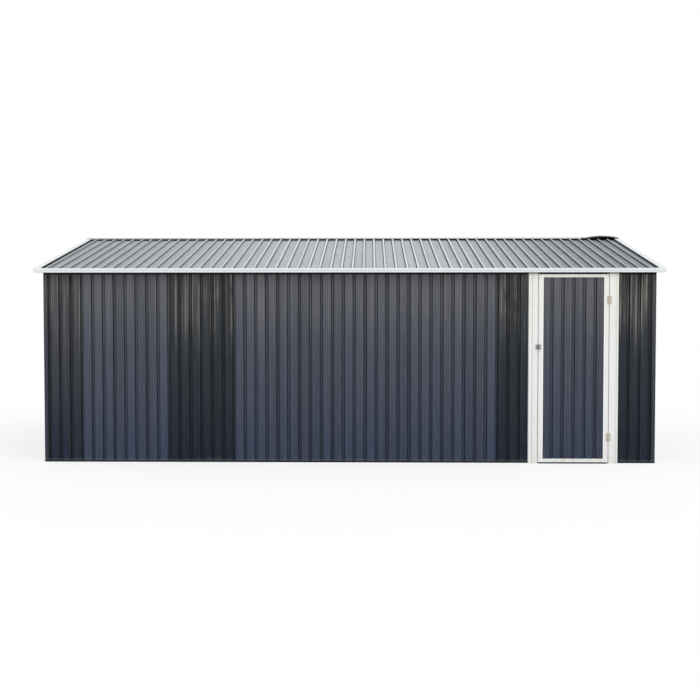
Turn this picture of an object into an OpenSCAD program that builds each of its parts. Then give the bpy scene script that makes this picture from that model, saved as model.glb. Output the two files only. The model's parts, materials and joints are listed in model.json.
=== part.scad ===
// Metal garage: ribbed steel sheets on folded rails, low gable roof, hinged side door.
// Millimetres, +X along the eaves, front wall towards -Y, +Z up.
// The origin is on the ground under the middle of the building.

/* [Building] */
// Length of the walls over the sheet faces
wall_len = 5930; // [4200:10:8000]
// Width of the building over the sheet faces
wall_w = 3910; // [2800:10:5200]
// Height of the roof sheet's underside at the eave edge
eave_h = 1862; // [1862:1:2600]
// Roof pitch in degrees
roof_angle = 12; // [8:0.5:22]
// How far the roof stands out over the long walls
eave_overhang = 75; // [70:1:160]
// How far the roof stands out over the gable walls
verge_overhang = 78; // [70:1:160]

/* [Sheets] */
// Thickness of wall and roof sheets
sheet_t = 0.6; // [0.4:0.1:1.2]
// Distance between grooves or ribs
rib_pitch = 106; // [80:1:140]
// Depth of a wall groove
groove_depth = 10; // [6:1:16]
// Width of a wall groove at the face
groove_open = 32; // [24:1:40]
// Width of a wall groove at its bottom
groove_floor = 18; // [14:1:22]
// Height of a roof rib
roof_rib_h = 16; // [10:1:24]
// Width of a roof rib at its foot
roof_rib_base = 34; // [26:1:44]
// Width of a roof rib on top
roof_rib_top = 18; // [14:1:24]
// Grooves across a full sheet
panel_pitches = 6; // [4:1:8]
// Grooves across a corner sheet
corner_pitches = 3; // [2:1:4]
// Wall corner to the middle of the front wall's first groove
first_groove = 55; // [45:1:60]
// Left verge to the middle of the first roof rib
first_rib = 117; // [100:1:150]
// How far a sheet runs on under its neighbour at a joint
lap_w = 8; // [5:1:9]

/* [Rails and roof frame] */
// Thickness of folded rails
rail_t = 1.2; // [0.8:0.1:2]
// Height of the base rail's lip outside the sheets
base_lip_h = 18; // [10:1:30]
// Height of the base rail's upright behind the sheets
base_upright_h = 40; // [25:1:60]
// Width of the base rail's foot inside the wall face
base_foot_w = 45; // [40:1:80]
// Height of the mid and top rails
rail_h = 40; // [30:1:50]
// Depth of the mid and top rails
rail_depth = 25; // [20:1:35]
// Middle height of the mid rails
mid_rail_z = 925; // [700:5:1200]
// Height of a purlin
purlin_h = 20; // [15:1:30]
// Width of a purlin
purlin_w = 40; // [30:1:50]
// Purlins on each slope
purlin_count = 2; // [1:1:4]
// Height of a truss rafter
rafter_h = 25; // [20:1:40]
// Width of rafters, ties and posts
truss_w = 30; // [25:1:40]
// Height of a truss tie
tie_h = 30; // [25:1:45]
// Number of roof trusses between the gables
truss_count = 3; // [1:1:5]
// Width of the ridge beam
ridge_beam_w = 40; // [30:1:60]
// Height of the ridge beam
ridge_beam_h = 40; // [30:1:60]
// Width of the gap between the two slopes' sheets at the ridge
ridge_gap = 24; // [16:1:40]

/* [Trims] */
// Thickness of folded trims
trim_t = 0.8; // [0.6:0.1:1.2]
// Height of the eave fascia's face
fascia_h = 38; // [30:1:60]
// Width of the fascia's flange on top of the ribs
fascia_top_w = 25; // [15:1:40]
// Width of the fascia's flange below
fascia_bottom_w = 22; // [15:1:25]
// Depth of the line pressed along the fascia
fascia_line = 2; // [1:0.5:3]
// Width of the verge trim on top
verge_top_w = 60; // [45:1:64]
// Height of the verge trim's outer face
verge_drop = 40; // [30:1:60]
// Length of an eave corner cap along the eave
corner_cap_len = 85; // [80:1:120]
// Depth of an eave corner cap
corner_cap_depth = 45; // [35:1:60]
// Leg of a wall corner angle
corner_angle_w = 33; // [20:1:36]
// Width of one leg of the ridge cap
ridge_cap_w = 90; // [60:1:140]
// Length of the ridge cap's sprung end
sprung_len = 420; // [300:10:600]
// How far the ridge cap's end has sprung up
sprung_h = 20; // [5:1:30]
// How far the sprung end lies on the ridge cap
sprung_lap = 60; // [40:1:100]

/* [Side door] */
// Right wall end to the outer edge of the door frame
door_from_end = 369; // [250:1:900]
// Width of the door leaf
leaf_w = 672; // [560:1:900]
// Thickness of the door leaf
leaf_t = 30; // [25:1:40]
// Height of the leaf's lower edge above the ground
leaf_bottom = 14; // [10:1:30]
// Clearance between the leaf and the pieces above it
leaf_top_gap = 16; // [8:1:40]
// Clearance between the leaf and each jamb
door_gap = 6.5; // [6:0.5:8]
// Width of a leaf stile
stile_w = 45.5; // [35:0.5:70]
// Height of the leaf's top rail
leaf_top_rail = 30; // [25:1:60]
// Height of the leaf's bottom rail
leaf_bottom_rail = 34; // [25:1:80]
// Wall thickness of stiles, rails and jambs
frame_t = 1.5; // [1:0.1:2.5]
// Distance between the grooves of the leaf panel
leaf_pitch = 104; // [80:1:130]
// Depth of the leaf panel's grooves
leaf_groove_depth = 8; // [5:1:10]
// How far the leaf panel lies behind the stiles' faces
panel_recess = 8; // [4:1:12]
// Width of a door jamb
jamb_w = 86.5; // [70:0.5:120]
// How far the jambs stand out from the wall face
jamb_proud = 45; // [35:1:48]
// Width of the door stop beside the opening
stop_w = 15; // [10:1:25]
// Distance from the jamb's outer edge to the line pressed along it
jamb_line_at = 30; // [20:1:40]

/* [Fittings] */
// Height of a hinge
hinge_h = 74; // [50:1:100]
// Width of an open hinge
hinge_w = 47; // [40:1:60]
// Thickness of a hinge plate
hinge_plate_t = 2; // [1.5:0.5:3]
// Radius of the hinge pin
pin_r = 2.5; // [2:0.1:3]
// Radius of the hinge knuckles
knuckle_r = 5; // [4.5:0.5:6]
// Middle height of the lower hinge
hinge_low_z = 257; // [150:1:500]
// Middle height of the upper hinge
hinge_high_z = 1577; // [1200:1:1650]
// Middle height of the latch
latch_z = 1127; // [800:1:1150]
// Height of the latch and its keeper
latch_h = 46; // [30:1:70]
// Width of the latch case
latch_case_w = 23; // [18:1:40]
// Width of the latch keeper
keeper_w = 18; // [14:1:30]
// How far the latch case stands out
latch_case_d = 14; // [8:1:22]
// How far the keeper stands out
keeper_d = 11; // [8:1:20]

/* [Clearances] */
// Gap between pieces that are screwed together
seat_gap = 0.3; // [0.2:0.1:0.5]
// Radial clearance of the hinge pin in its knuckles
pin_clear = 0.05; // [0.03:0.01:0.1]

/* [Hidden] */
wall_dark = [0.19, 0.21, 0.24];
roof_grey = [0.62, 0.65, 0.68];
trim_white = [0.93, 0.93, 0.92];
door_white = [0.86, 0.87, 0.84];
steel_grey = [0.66, 0.67, 0.68];
zinc_grey = [0.58, 0.60, 0.62];

half_len = wall_len / 2;
half_w = wall_w / 2;
half_span = half_w + eave_overhang;
roof_len = wall_len + 2 * verge_overhang;
half_roof = roof_len / 2;
slope_cos = cos(roof_angle);
slope_tan = tan(roof_angle);

// Depth behind the wall face at which the rails begin
rail_off = groove_depth + 2 * (sheet_t + seat_gap);
rail_back = rail_off + rail_depth;
lap_step = sheet_t + seat_gap;
joggle_from = 1.3;
joggle_to = 0.3;

// Height of the roof sheet's underside above a line at y
function under_z(y) = eave_h + (half_span - abs(y)) * slope_tan;
sheet_z0 = rail_t + seat_gap;
wall_top = under_z(half_w) - seat_gap;
top_rail_top = under_z(half_w - rail_off) - 2 * seat_gap;
top_rail_z0 = top_rail_top - rail_h;
tie_top = top_rail_z0 - seat_gap;
ridge_beam_top = under_z(ridge_beam_w / 2) - seat_gap;
ridge_beam_z0 = ridge_beam_top - ridge_beam_h;

// Heights over the roof sheet's underside, square to the slope
rib_top_n = roof_rib_h + sheet_t;
trim_top_n = rib_top_n + seat_gap + trim_t;
cap_under_n = trim_top_n + seat_gap;
fascia_top = eave_h + trim_top_n / slope_cos;
fascia_bottom = fascia_top - fascia_h;

opening_w = leaf_w + 2 * door_gap;
frame_w = opening_w + 2 * jamb_w;
door_left = half_len - door_from_end - frame_w;
door_right = half_len - door_from_end;
leaf_left = door_left + jamb_w + door_gap;
leaf_right = leaf_left + leaf_w;
leaf_top = fascia_bottom - leaf_top_gap;
leaf_h = leaf_top - leaf_bottom;
door_face = -half_w - jamb_proud;
jamb_depth = jamb_proud + groove_depth + sheet_t + lap_step;
jamb_top = under_z(door_face) - seat_gap;
jamb_line_w = 5;
jamb_line_d = 3;
head_z0 = leaf_top + door_gap;

hinge_x = leaf_right + door_gap / 2;
hinge_y = door_face - knuckle_r - 1;
knuckle_gap = 0.5;
knuckle_h = (hinge_h - 2 * knuckle_gap) / 3;
pin_head_r = 3.8;
pin_head_h = 2;
knob_r = 8;
knob_d = 5;

// Groove numbers at which the front wall's sheets meet, from the left corner
grooves_to_door = floor((door_left + half_len - first_groove - groove_open) / rib_pitch);
last_joint = grooves_to_door - 2;
full_pitches = min(panel_pitches, floor((last_joint - corner_pitches) / 6));
front_joints = concat([corner_pitches],
    [for (i = [5:-1:0]) last_joint - i * full_pitches]);

// ---- Shared shapes ----

// Outline of a folded sheet: its line, then the same line moved by the thickness
module folded(line, t) {
    polygon(concat(line, [for (i = [len(line) - 1:-1:0]) line[i] + [0, t]]));
}

// C section, w deep and h high, with its web at x = 0
module c_section(w, h, t) {
    polygon([[0, 0], [w, 0], [w, t], [t, t], [t, h - t], [w, h - t], [w, h], [0, h]]);
}

// Extrudes an outline drawn as [y, z] from x0 to x1
module along_x(x0, x1) {
    translate([x0, 0, 0]) rotate([90, 0, 90]) linear_extrude(x1 - x0) children();
}

// Extrudes an outline drawn as [x, z] from y0 to y1
module along_y(y0, y1) {
    translate([0, y1, 0]) rotate([90, 0, 0]) linear_extrude(y1 - y0) children();
}

// Places pieces drawn on the front slope: y runs up the slope, z is square to it
module on_front_slope() {
    translate([0, -half_span, eave_h]) rotate([roof_angle, 0, 0]) children();
}

module both_slopes() {
    on_front_slope() children();
    mirror([0, 1, 0]) on_front_slope() children();
}

// Middles of the grooves or ribs that lie wholly between s0 and s1
function middles(s0, s1, first, pitch, width) =
    [for (k = [0:ceil((s1 - first) / pitch)])
        let (c = first + k * pitch)
        if (c - width / 2 > s0 + 1 && c + width / 2 < s1 - 1) c];

// Line of one sheet from s0 to s1. At a joint it begins or ends in the middle of a
// groove, and its end is stepped to run on under the next sheet.
function sheet_line(s0, s1, mids, open, flat, depth, joint0, joint1, step) = concat(
    joint0 ? [[s0, depth], [s0 + flat / 2, depth], [s0 + open / 2, 0]] : [[s0, 0]],
    [for (c = mids) each [[c - open / 2, 0], [c - flat / 2, depth],
        [c + flat / 2, depth], [c + open / 2, 0]]],
    joint1 ? [[s1 - open / 2, 0], [s1 - flat / 2, depth], [s1 - joggle_from, depth],
        [s1 - joggle_to, depth + step], [s1 + lap_w, depth + step]] : [[s1, 0]]);

module wall_sheet(s0, s1, first, joint0, joint1) {
    mids = middles(s0, s1, first, rib_pitch, groove_open);
    folded(sheet_line(s0, s1, mids, groove_open, groove_floor, groove_depth,
        joint0, joint1, lap_step), sheet_t);
}

// A row of wall sheets over a length, with joints at the listed groove numbers
module wall_run(s0, s1, first, joints) {
    stops = concat([s0], [for (j = joints) first + j * rib_pitch], [s1]);
    for (i = [0:len(stops) - 2]) {
        wall_sheet(stops[i], stops[i + 1], first, i > 0, i < len(stops) - 2);
    }
}

// ---- Base ----

// Base rail under one stretch of a long wall, with its face at y = -half_w
module long_base_rail(x0, x1, up0, up1) {
    translate([x0, -half_w - seat_gap - rail_t, 0])
        cube([x1 - x0, seat_gap + rail_t + base_foot_w, rail_t]);
    translate([x0, -half_w - seat_gap - rail_t, 0]) cube([x1 - x0, rail_t, base_lip_h]);
    translate([up0, -half_w + rail_off, 0]) cube([up1 - up0, rail_t, base_upright_h]);
}

module base_rail_front() color(wall_dark) {
    long_base_rail(-half_len - seat_gap - rail_t, door_left - seat_gap,
        -half_len + rail_off, door_left - seat_gap);
    long_base_rail(door_right + seat_gap, half_len + seat_gap + rail_t,
        door_right + seat_gap, half_len - rail_off);
}

module base_rail_back() color(wall_dark) {
    mirror([0, 1, 0]) long_base_rail(-half_len - seat_gap - rail_t, half_len + seat_gap + rail_t,
        -half_len + rail_off, half_len - rail_off);
}

module base_rail_left() color(wall_dark) {
    reach = half_w - base_foot_w - seat_gap;
    along_y(-reach, reach) translate([-half_len, 0]) union() {
        translate([-seat_gap - rail_t, 0]) square([seat_gap + rail_t + base_foot_w, rail_t]);
        translate([-seat_gap - rail_t, 0]) square([rail_t, base_lip_h]);
        translate([rail_off, 0]) square([rail_t, base_upright_h]);
    }
}

module base_rail_right() mirror([1, 0, 0]) base_rail_left();

// Flat strip under the door leaf, between the stops of the jambs
module threshold() color(zinc_grey) {
    inset = stop_w + seat_gap;
    translate([door_left + jamb_w + inset, door_face, 0])
        cube([opening_w - 2 * inset, jamb_proud + base_foot_w, rail_t]);
}

// ---- Walls ----

module front_sheet(s0, s1, joint0, joint1) color(wall_dark) {
    translate([-half_len, -half_w, sheet_z0]) linear_extrude(wall_top - sheet_z0)
        wall_sheet(s0, s1, first_groove, joint0, joint1);
}

function joint_s(i) = first_groove + front_joints[i] * rib_pitch;

module front_panel_1() front_sheet(0, joint_s(0), false, true);
module front_panel_2() front_sheet(joint_s(0), joint_s(1), true, true);
module front_panel_3() front_sheet(joint_s(1), joint_s(2), true, true);
module front_panel_4() front_sheet(joint_s(2), joint_s(3), true, true);
module front_panel_5() front_sheet(joint_s(3), joint_s(4), true, true);
module front_panel_6() front_sheet(joint_s(4), joint_s(5), true, true);
module front_panel_7() front_sheet(joint_s(5), joint_s(6), true, true);
module front_panel_8() {
    front_sheet(joint_s(6), door_left + half_len - seat_gap, true, false);
}
module front_panel_9() {
    mirror([1, 0, 0]) front_sheet(0, door_from_end - seat_gap, false, false);
}

// Evenly spaced grooves between two corners: how many spaces, and where the first lies
function even_count(total) = floor((total - 2 * corner_angle_w - groove_open) / rib_pitch);
function even_first(total) = (total - even_count(total) * rib_pitch) / 2;
function even_joints(n) =
    [for (j = [corner_pitches:panel_pitches:n - corner_pitches]) j];

module back_wall() color(wall_dark) {
    mirror([0, 1, 0]) translate([-half_len, -half_w, sheet_z0])
        linear_extrude(wall_top - sheet_z0)
        wall_run(0, wall_len, even_first(wall_len), even_joints(even_count(wall_len)));
}

// House-shaped outline under the roof sheets, as [y, z]
module gable_outline() {
    polygon([[-half_w, 0], [half_w, 0], [half_w, under_z(half_w) - seat_gap],
        [0, under_z(0) - seat_gap], [-half_w, under_z(half_w) - seat_gap]]);
}

module left_gable_wall() color(wall_dark) {
    intersection() {
        translate([-half_len, half_w, sheet_z0]) rotate([0, 0, -90]) linear_extrude(under_z(0))
            wall_run(rail_off, wall_w - rail_off, even_first(wall_w),
                even_joints(even_count(wall_w)));
        along_x(-half_len - rail_depth, -half_len + rail_depth) gable_outline();
    }
}

module right_gable_wall() mirror([1, 0, 0]) left_gable_wall();

// Angle over one corner of the walls
module corner_angle() {
    translate([-half_len - seat_gap, -half_w - seat_gap, base_lip_h + seat_gap])
        linear_extrude(wall_top - base_lip_h - seat_gap - trim_t) {
            translate([-trim_t, -trim_t]) square([corner_angle_w + trim_t, trim_t]);
            translate([-trim_t, -trim_t]) square([trim_t, corner_angle_w + trim_t]);
        }
}

module corner_angles() color(wall_dark) {
    for (mx = [0, 1]) for (my = [0, 1])
        mirror([mx, 0, 0]) mirror([0, my, 0]) corner_angle();
}

// ---- Rails inside ----

// C rail along a long wall, its web behind the sheets of the wall at y = -half_w
module long_rail(x0, x1, z0) {
    along_x(x0, x1) translate([-half_w + rail_off, z0]) c_section(rail_depth, rail_h, rail_t);
}

module mid_rails() color(zinc_grey) {
    z0 = mid_rail_z - rail_h / 2;
    end_x = half_len - rail_off;
    long_rail(-end_x, door_left + jamb_w - stop_w, z0);
    long_rail(door_right - jamb_w + stop_w, end_x, z0);
    mirror([0, 1, 0]) long_rail(-end_x, end_x, z0);
    reach = half_w - rail_back - seat_gap;
    for (m = [0, 1]) mirror([m, 0, 0]) along_y(-reach, reach)
        translate([-half_len + rail_off, z0]) c_section(rail_depth, rail_h, rail_t);
}

module top_rails() color(zinc_grey) {
    end_x = half_len - rail_off;
    for (m = [0, 1]) mirror([0, m, 0]) long_rail(-end_x, end_x, top_rail_z0);
}

// ---- Roof frame ----

// Keeps what lies on the front slope between the top rail and the ridge beam
module front_slope_only(x0, x1, z0) {
    intersection() {
        children();
        translate([x0, -half_w + rail_back + seat_gap, z0])
            cube([x1 - x0, half_w - rail_back - ridge_beam_w / 2 - 2 * seat_gap, under_z(0)]);
    }
}

module gable_rafter() {
    x0 = -half_len + rail_off;
    front_slope_only(x0, x0 + rail_depth, 0) on_front_slope() along_y(0, half_span / slope_cos)
        translate([x0, -seat_gap - tie_h]) c_section(rail_depth, tie_h, rail_t);
}

// Tie across the building under the top rails, with its web at x0
module cross_tie(x0) {
    reach = half_w - rail_off;
    along_y(-reach, reach) translate([x0, tie_top - tie_h]) c_section(truss_w, tie_h, rail_t);
}

// Web position of truss number i
function truss_x(i) = -half_len + wall_len * i / (truss_count + 1) - truss_w / 2;

module ties() color(zinc_grey) {
    for (m = [0, 1]) mirror([m, 0, 0]) cross_tie(-half_len + rail_off);
    for (i = [1:truss_count]) cross_tie(truss_x(i));
}

module truss_rafter(x0) {
    low_n = -2 * seat_gap - purlin_h - rafter_h;
    front_slope_only(x0, x0 + truss_w, tie_top + seat_gap) on_front_slope()
        along_y(0, half_span / slope_cos)
        translate([x0, low_n]) c_section(truss_w, rafter_h, rail_t);
}

module rafters() color(zinc_grey) {
    for (my = [0, 1]) mirror([0, my, 0]) {
        for (mx = [0, 1]) mirror([mx, 0, 0]) gable_rafter();
        for (i = [1:truss_count]) truss_rafter(truss_x(i));
    }
}

// Middle post of each truss, from its tie to the ridge beam
module truss_posts() color(zinc_grey) {
    for (i = [1:truss_count])
        translate([truss_x(i), -truss_w / 2, tie_top + seat_gap])
            linear_extrude(ridge_beam_z0 - tie_top - 2 * seat_gap)
            c_section(truss_w, truss_w, rail_t);
}

module ridge_beam() color(zinc_grey) {
    end_x = half_len - rail_off;
    along_x(-end_x, end_x) translate([-ridge_beam_w / 2, ridge_beam_z0])
        difference() {
            square([ridge_beam_w, ridge_beam_h]);
            translate([rail_t, -1]) square([ridge_beam_w - 2 * rail_t, ridge_beam_h - rail_t + 1]);
        }
}

// Purlins lie on the truss rafters, right under the sheets, between the gable rafters
module purlins() color(zinc_grey) {
    end_x = half_len - rail_back - seat_gap;
    spacing = half_w / slope_cos / (purlin_count + 1);
    both_slopes() for (i = [1:purlin_count])
        along_x(-end_x, end_x)
            translate([eave_overhang + i * spacing, -seat_gap - purlin_h])
            c_section(purlin_w, purlin_h, rail_t);
}

// ---- Roof cover ----

roof_edge = trim_t + seat_gap;
roof_u0 = (fascia_line + trim_t + seat_gap) / slope_cos + rib_top_n * slope_tan;
roof_u1 = (half_span - ridge_gap / 2) / slope_cos;
roof_rib_count = floor((roof_len - first_rib) / rib_pitch);
roof_joints = [for (j = [panel_pitches - 1:panel_pitches:roof_rib_count - corner_pitches]) j];

// Ribs of one roof sheet, without one that would stand under the verge trim's lip
function rib_mids(s0, s1) =
    [for (c = middles(s0, s1, first_rib, rib_pitch, roof_rib_base))
        if (abs(c - roof_len + verge_top_w) > roof_rib_base / 2 + 2) c];

module roof_slope() {
    stops = concat([roof_edge], [for (j = roof_joints) first_rib + j * rib_pitch],
        [roof_len - roof_edge]);
    last = len(stops) - 2;
    translate([-half_roof, 0, 0]) along_y(roof_u0, roof_u1)
        for (i = [0:last])
            folded(sheet_line(stops[i], stops[i + 1], rib_mids(stops[i], stops[i + 1]),
                roof_rib_base, roof_rib_top, roof_rib_h, i > 0, i < last, -lap_step), sheet_t);
}

module roof_front() color(roof_grey) on_front_slope() roof_slope();
module roof_back() color(roof_grey) mirror([0, 1, 0]) on_front_slope() roof_slope();

// Underside of the ridge cap at y, and how far its legs reach out
function cap_z(y) = under_z(y) + cap_under_n / slope_cos;
cap_reach = ridge_cap_w * slope_cos;
cap_rise = trim_t / slope_cos;

module ridge_cap() color(roof_grey) {
    along_x(-half_roof, half_roof - sprung_len + sprung_lap) polygon([
        [-cap_reach, cap_z(cap_reach)], [0, cap_z(0)], [cap_reach, cap_z(cap_reach)],
        [cap_reach, cap_z(cap_reach) + cap_rise], [0, cap_z(0) + cap_rise],
        [-cap_reach, cap_z(cap_reach) + cap_rise]]);
}

// The cap's last length has sprung up in a shallow arch and comes down at the verge
sprung_steps = 14;
function sprung_lift(t) = sprung_h * pow(sin(180 * t), 0.8);
function sprung_ring(i) =
    let (t = i / sprung_steps,
        x = half_roof - sprung_len + sprung_len * t,
        flat = sprung_lap / sprung_len,
        lift = cap_rise + seat_gap + (t < flat ? 0 : sprung_lift((t - flat) / (1 - flat))),
        low = cap_z(cap_reach) + lift,
        top = cap_z(0) + lift)
    [[x, -cap_reach, low], [x, 0, top], [x, cap_reach, low],
        [x, cap_reach, low + cap_rise], [x, 0, top + cap_rise], [x, -cap_reach, low + cap_rise]];

module ridge_cap_end() color(roof_grey) {
    points = [for (i = [0:sprung_steps]) each sprung_ring(i)];
    last = 6 * sprung_steps;
    sides = [for (i = [0:sprung_steps - 1]) for (k = [0:5])
        [6 * i + k, 6 * i + (k + 1) % 6, 6 * (i + 1) + (k + 1) % 6, 6 * (i + 1) + k]];
    polyhedron(points, concat([[5, 4, 1, 0], [4, 3, 2, 1]],
        [[last, last + 1, last + 4, last + 5], [last + 1, last + 2, last + 3, last + 4]], sides));
}

// ---- Trims ----

module fascia_outline() {
    mid = (fascia_top + fascia_bottom) / 2;
    top_out = fascia_top + fascia_top_w * slope_tan;
    drop = trim_t / slope_cos;
    translate([-half_span, 0]) polygon([
        [0, fascia_top], [0, mid + fascia_line], [fascia_line, mid], [0, mid - fascia_line],
        [0, fascia_bottom], [fascia_bottom_w, fascia_bottom],
        [fascia_bottom_w, fascia_bottom + trim_t], [trim_t, fascia_bottom + trim_t],
        [trim_t, mid - fascia_line], [trim_t + fascia_line, mid], [trim_t, mid + fascia_line],
        [trim_t, fascia_top + trim_t * slope_tan - drop], [fascia_top_w, top_out - drop],
        [fascia_top_w, top_out]]);
}

module fascia_front() color(trim_white) {
    end_x = half_roof - corner_cap_len - seat_gap;
    along_x(-end_x, end_x) fascia_outline();
}

module fascia_back() mirror([0, 1, 0]) fascia_front();

// Verge trim on the left end of the front slope, mitred at the ridge
module verge_trim() {
    u0 = (corner_cap_depth + seat_gap) / slope_cos + trim_top_n * slope_tan;
    low = sheet_t + seat_gap;
    intersection() {
        on_front_slope() along_y(u0, half_span / slope_cos + verge_drop)
            translate([-half_roof, 0]) polygon([
                [0, trim_top_n], [0, trim_top_n - verge_drop],
                [trim_t, trim_top_n - verge_drop], [trim_t, trim_top_n - trim_t],
                [verge_top_w - trim_t, trim_top_n - trim_t], [verge_top_w - trim_t, low],
                [verge_top_w, low], [verge_top_w, trim_top_n]]);
        translate([-half_roof - 1, -half_span, 0])
            cube([verge_top_w + 2, half_span - seat_gap / 2, 2 * under_z(0)]);
    }
}

module verge_trim_left() color(trim_white) {
    verge_trim();
    mirror([0, 1, 0]) verge_trim();
}

module verge_trim_right() mirror([1, 0, 0]) verge_trim_left();

// Folded cap over the front left end of the eave, open towards the roof
module eave_corner_cap() {
    d = corner_cap_depth;
    face = 0.5;
    chin_y = 8;
    chin_z = fascia_bottom + face * fascia_h;
    drop = trim_t / slope_cos;
    x0 = -half_roof;
    difference() {
        along_x(x0, x0 + corner_cap_len) translate([-half_span, 0]) polygon([
            [0, fascia_top], [0, chin_z], [chin_y, fascia_bottom], [d, fascia_bottom],
            [d, fascia_top + d * slope_tan]]);
        along_x(x0 + trim_t, x0 + corner_cap_len + 1) translate([-half_span, 0]) polygon([
            [trim_t, fascia_top + trim_t * slope_tan - drop], [trim_t, chin_z],
            [chin_y + trim_t, fascia_bottom + trim_t], [d + 1, fascia_bottom + trim_t],
            [d + 1, fascia_top + (d + 1) * slope_tan - drop]]);
    }
}

module eave_corner_caps() color(trim_white) {
    for (mx = [0, 1]) for (my = [0, 1])
        mirror([mx, 0, 0]) mirror([0, my, 0]) eave_corner_cap();
}

// ---- Door frame ----

// Jamb on the left of the opening: folded face with two returns and a stop
module jamb_outline() {
    mid = jamb_line_at;
    half = jamb_line_w / 2;
    folded([[0, 0], [mid - half, 0], [mid, jamb_line_d], [mid + half, 0], [jamb_w, 0]], frame_t);
    square([frame_t, jamb_depth]);
    translate([jamb_w - frame_t, 0]) square([frame_t, jamb_depth]);
    translate([jamb_w - frame_t, leaf_t + door_gap]) square([stop_w + frame_t, frame_t]);
}

module jamb_left() color(door_white) {
    translate([door_left, door_face, 0]) linear_extrude(jamb_top) jamb_outline();
}

module jamb_right() color(door_white) {
    translate([door_right, door_face, 0]) mirror([1, 0, 0])
        linear_extrude(jamb_top) jamb_outline();
}

// Strip over the opening, between the jambs
module door_head() color(wall_dark) {
    x0 = door_left + jamb_w + seat_gap;
    along_x(x0, x0 + opening_w - 2 * seat_gap)
        translate([-half_w, head_z0]) c_section(groove_depth, wall_top - head_z0, rail_t);
}

// ---- Door leaf ----

module tube_section(w, d) {
    difference() {
        square([w, d]);
        translate([frame_t, frame_t]) square([w - 2 * frame_t, d - 2 * frame_t]);
    }
}

module leaf_stiles() color(door_white) {
    for (x = [leaf_left, leaf_right - stile_w])
        translate([x, door_face, leaf_bottom]) linear_extrude(leaf_h)
            tube_section(stile_w, leaf_t);
}

panel_x0 = leaf_left + stile_w + seat_gap;
panel_x1 = leaf_right - stile_w - seat_gap;

module leaf_rails() color(door_white) {
    along_x(panel_x0, panel_x1) translate([door_face, leaf_bottom])
        tube_section(leaf_t, leaf_bottom_rail);
    along_x(panel_x0, panel_x1) translate([door_face, leaf_top - leaf_top_rail])
        tube_section(leaf_t, leaf_top_rail);
}

module leaf_panel() color(wall_dark) {
    mid = (panel_x0 + panel_x1) / 2;
    reach = floor((panel_x1 - mid - groove_open / 2) / leaf_pitch);
    mids = [for (k = [-reach:reach]) mid + k * leaf_pitch];
    z0 = leaf_bottom + leaf_bottom_rail + seat_gap;
    translate([0, door_face + panel_recess, z0])
        linear_extrude(leaf_top - leaf_top_rail - seat_gap - z0)
        folded(sheet_line(panel_x0, panel_x1, mids, groove_open, groove_floor,
            leaf_groove_depth, false, false, 0), sheet_t);
}

// ---- Fittings ----

module knuckle(z0) {
    translate([0, 0, z0]) difference() {
        cylinder(h = knuckle_h, r = knuckle_r, $fn = 48);
        translate([0, 0, -1]) cylinder(h = knuckle_h + 2, r = pin_r + pin_clear, $fn = 48);
    }
}

// Half of a hinge about the pin's axis: its plate on the right, knuckles as listed
module hinge_half(knuckles) {
    back = door_face - hinge_y;
    edge = knuckle_r + 1;
    translate([edge, back - hinge_plate_t, 0])
        cube([hinge_w / 2 - edge, hinge_plate_t, hinge_h]);
    for (k = knuckles) {
        z0 = k * (knuckle_h + knuckle_gap);
        knuckle(z0);
        translate([0, back - hinge_plate_t, z0]) cube([edge, hinge_plate_t, knuckle_h]);
    }
}

// Places a fitting at both hinges
module at_hinges() {
    for (z = [hinge_low_z, hinge_high_z])
        translate([hinge_x, hinge_y, z - hinge_h / 2]) children();
}

// Keeper of the latch, on the face of the left jamb
module latch_keeper() color(steel_grey) {
    x1 = door_left + jamb_w;
    difference() {
        translate([x1 - keeper_w, door_face - keeper_d, latch_z - latch_h / 2])
            cube([keeper_w, keeper_d, latch_h]);
        translate([x1 - keeper_w / 2, door_face - keeper_d - 1, latch_z - latch_h / 6])
            cube([keeper_w, keeper_d / 2 + 1, latch_h / 3]);
    }
}

module hinge_jamb_plates() color(steel_grey) at_hinges() hinge_half([0, 2]);

module hinge_leaf_plates() color(steel_grey) at_hinges() mirror([1, 0, 0]) hinge_half([1]);

module hinge_pins() color(steel_grey) at_hinges() {
    translate([0, 0, -seat_gap]) cylinder(h = hinge_h + 2 * seat_gap, r = pin_r, $fn = 48);
    for (z = [-seat_gap - pin_head_h, hinge_h + seat_gap])
        translate([0, 0, z]) cylinder(h = pin_head_h, r = pin_head_r, $fn = 48);
}

// Latch case on the face of the leaf, with its turn knob
module latch_case() color(steel_grey) {
    translate([leaf_left, door_face - latch_case_d, latch_z - latch_h / 2])
        cube([latch_case_w, latch_case_d, latch_h]);
    translate([leaf_left + latch_case_w / 2, door_face - latch_case_d, latch_z])
        rotate([90, 0, 0]) cylinder(h = knob_d, r = knob_r, $fn = 48);
}

base_rail_front();
base_rail_back();
base_rail_left();
base_rail_right();
threshold();
front_panel_1();
front_panel_2();
front_panel_3();
front_panel_4();
front_panel_5();
front_panel_6();
front_panel_7();
front_panel_8();
front_panel_9();
back_wall();
left_gable_wall();
right_gable_wall();
corner_angles();
mid_rails();
top_rails();
ridge_beam();
purlins();
rafters();
ties();
truss_posts();
roof_front();
roof_back();
ridge_cap();
ridge_cap_end();
fascia_front();
fascia_back();
verge_trim_left();
verge_trim_right();
eave_corner_caps();
jamb_left();
jamb_right();
door_head();
leaf_stiles();
leaf_rails();
leaf_panel();
hinge_jamb_plates();
hinge_leaf_plates();
hinge_pins();
latch_keeper();
latch_case();
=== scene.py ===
import bpy
import json
import math
from mathutils import Matrix, Vector


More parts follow.
